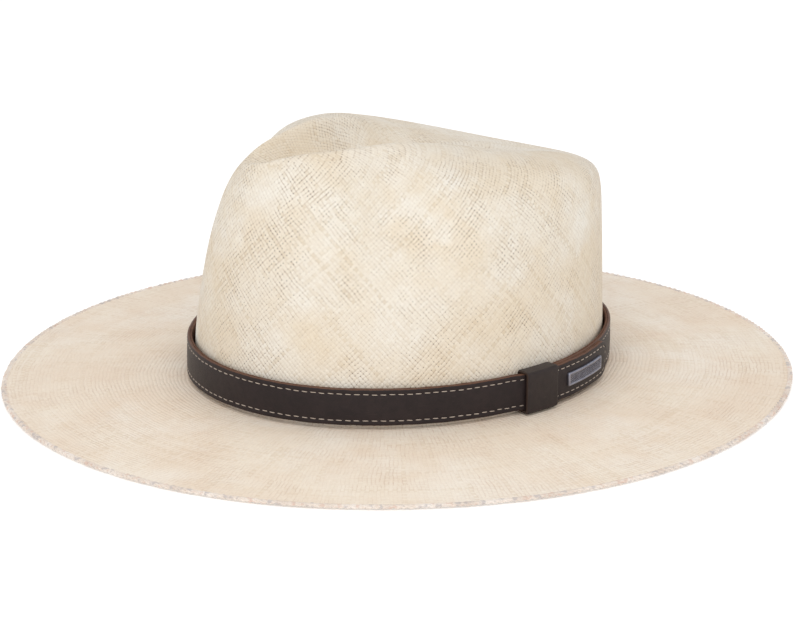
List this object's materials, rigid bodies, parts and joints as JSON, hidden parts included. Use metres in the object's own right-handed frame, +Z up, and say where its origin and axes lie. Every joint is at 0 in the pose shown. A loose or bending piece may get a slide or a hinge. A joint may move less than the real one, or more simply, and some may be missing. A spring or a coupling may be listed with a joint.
{
  "type": "panama hat",
  "caption": "Woven straw hat with a wide round brim, a pinched teardrop crown, a leather sweatband and a stitched leather hatband with a keeper loop and a small metal plate.",
  "frame": {"origin": "middle of the head oval, in the plane that the underside of the brim's edge rests on", "axes": "+Z up to the crown, -Y to the hat's front (the pointed end of the dent), +X to the wearer's left, where the band's keeper is"},
  "size_m": [0.361, 0.3908, 0.1305],
  "materials": {
    "straw": "satin",
    "straw_edge": "satin",
    "sweatband_leather": "satin",
    "reed": "matte",
    "tape": "satin",
    "cream_thread": "matte",
    "ribbon": "satin",
    "tag": "matte",
    "strap_leather": "satin",
    "strap_backing": "matte",
    "plaque_metal": "brushed"
  },
  "bodies": {
    "hat": {"straw_body": "straw", "brim_edge_plait": "straw_edge", "sweatband": "sweatband_leather", "sweatband_reed": "reed", "reed_tape": "tape", "sweatband_stitching": "cream_thread", "sweatband_bow_loops": "ribbon", "sweatband_bow_knot": "ribbon", "size_tag": "tag"},
    "band": {"band_strap_face": "strap_leather", "band_strap_backing": "strap_backing", "band_upper_stitching": "cream_thread", "band_lower_stitching": "cream_thread", "tongue_stitching": "cream_thread", "plaque": "plaque_metal", "plaque_prongs": "plaque_metal"},
    "keeper": {"keeper_loop": "strap_leather"}
  },
  "joints": [
    {"name": "band_lift", "type": "slide", "parent": "hat", "child": "band", "axis": [0, 0, 1], "range_m": [0, 0.125]},
    {"name": "keeper_slide", "type": "hinge", "parent": "band", "child": "keeper", "pos_m": [-0.02513, 0, 0.0183], "axis": [0, 0, 1], "range_deg": [-15, 3.5]}
  ]
}
